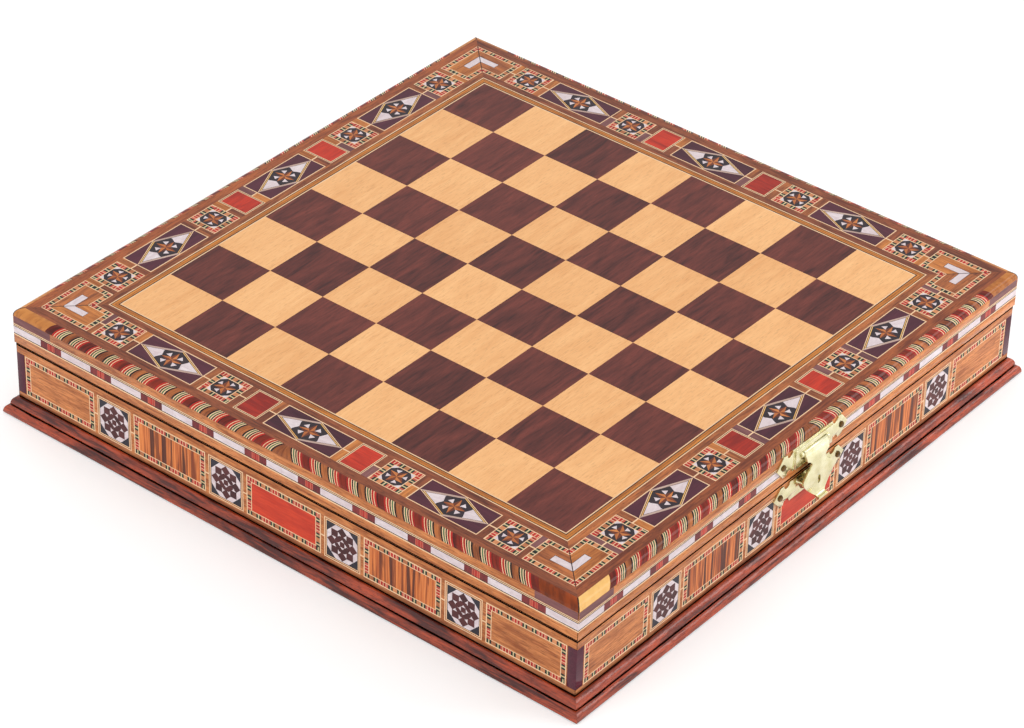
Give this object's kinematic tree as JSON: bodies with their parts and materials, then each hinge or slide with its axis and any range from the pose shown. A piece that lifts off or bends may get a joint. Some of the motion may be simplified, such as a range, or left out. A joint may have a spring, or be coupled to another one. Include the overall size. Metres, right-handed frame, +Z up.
{
  "type": "inlaid chess board box",
  "caption": "Hinged wooden storage box whose lid is an inlaid chess board, with a moulded plinth, brass latch and a velvet-lined, divided inside.",
  "frame": {"origin": "centre of the underside, on the plane that the box stands on", "axes": "+Z up, -Y out of the side with the latch, +Y out of the side with the hinges, +X to the right of someone facing the latch"},
  "size_m": [0.398, 0.4022, 0.068],
  "materials": {
    "walnut": "clear gloss lacquer over reddish brown wood",
    "dark_square": "clear gloss lacquer over dark purple-brown veneer",
    "light_square": "clear gloss lacquer over pale maple veneer",
    "gold_inlay": "clear gloss lacquer over pale and golden strips",
    "edge_inlay": "clear gloss lacquer over golden, green and red strips",
    "pearl_inlay": "mother-of-pearl and red blocks under clear gloss lacquer",
    "purple_wood": "clear gloss lacquer over dark purple veneer",
    "red_inlay": "clear gloss lacquer over red-dyed veneer",
    "striped_wood": "clear gloss lacquer over zebra-striped veneer",
    "walnut_inlay": "clear gloss lacquer over brown veneer with a chequered border",
    "star_inlay": "mosaic of wood and mother-of-pearl under clear gloss lacquer",
    "mahogany": "gloss lacquer over dark red moulding",
    "plain_wood": "satin lacquer",
    "velvet": "short dark red pile",
    "brass": "polished pale yellow brass"
  },
  "bodies": {
    "box": {"bottom_panel": "plain_wood", "bottom_velvet": "velvet", "cross_divider_back_1": "plain_wood", "cross_divider_back_2": "plain_wood", "cross_divider_back_3": "plain_wood", "cross_divider_back_4": "plain_wood", "cross_divider_back_5": "plain_wood", "cross_divider_back_6": "plain_wood", "cross_divider_back_7": "plain_wood", "cross_divider_front_1": "plain_wood", "cross_divider_front_2": "plain_wood", "cross_divider_front_3": "plain_wood", "cross_divider_front_4": "plain_wood", "cross_divider_front_5": "plain_wood", "cross_divider_front_6": "plain_wood", "cross_divider_front_7": "plain_wood", "hinge_box_leaves": "brass", "hinge_box_screws": "brass", "hinge_pins": "brass", "keeper_nails": "brass", "keeper_plate": "brass", "keeper_post": "brass", "long_divider_back": "plain_wood", "long_divider_front": "plain_wood", "plinth_back": "mahogany", "plinth_front": "mahogany", "plinth_left": "mahogany", "plinth_right": "mahogany", "side_corner_posts": "purple_wood", "side_red_panels": "red_inlay", "side_star_tiles": "star_inlay", "side_striped_panels": "striped_wood", "side_walnut_panels": "walnut_inlay", "wall_back": "walnut", "wall_front": "walnut", "wall_left": "walnut", "wall_right": "walnut", "wall_velvet": "velvet"},
    "lid": {"dark_squares": "dark_square", "field_stringing": "gold_inlay", "hinge_lid_leaves": "brass", "hinge_lid_screws": "brass", "latch_hinge_pin": "brass", "latch_nails": "brass", "latch_plate": "brass", "lid_edge_banding": "edge_inlay", "lid_panel": "walnut", "lid_pearl_band": "pearl_inlay", "lid_rail_back": "walnut", "lid_rail_front": "walnut", "lid_rail_left": "walnut", "lid_rail_right": "walnut", "lid_velvet": "velvet", "light_squares": "light_square", "top_corner_tiles": "walnut_inlay", "top_diamond_tiles": "star_inlay", "top_red_tiles": "red_inlay", "top_star_tiles": "star_inlay"},
    "hasp": {"hasp": "brass"}
  },
  "joints": [
    {"name": "lid_hinge", "type": "hinge", "parent": "box", "child": "lid", "pos_m": [0, 0.1953, 0.0457], "axis": [-1, 0, 0], "range_deg": [0, 100]},
    {"name": "hasp_hinge", "type": "hinge", "parent": "lid", "child": "hasp", "pos_m": [0, -0.1949, 0.0583], "axis": [-1, 0, 0], "range_deg": [0, 90]}
  ]
}
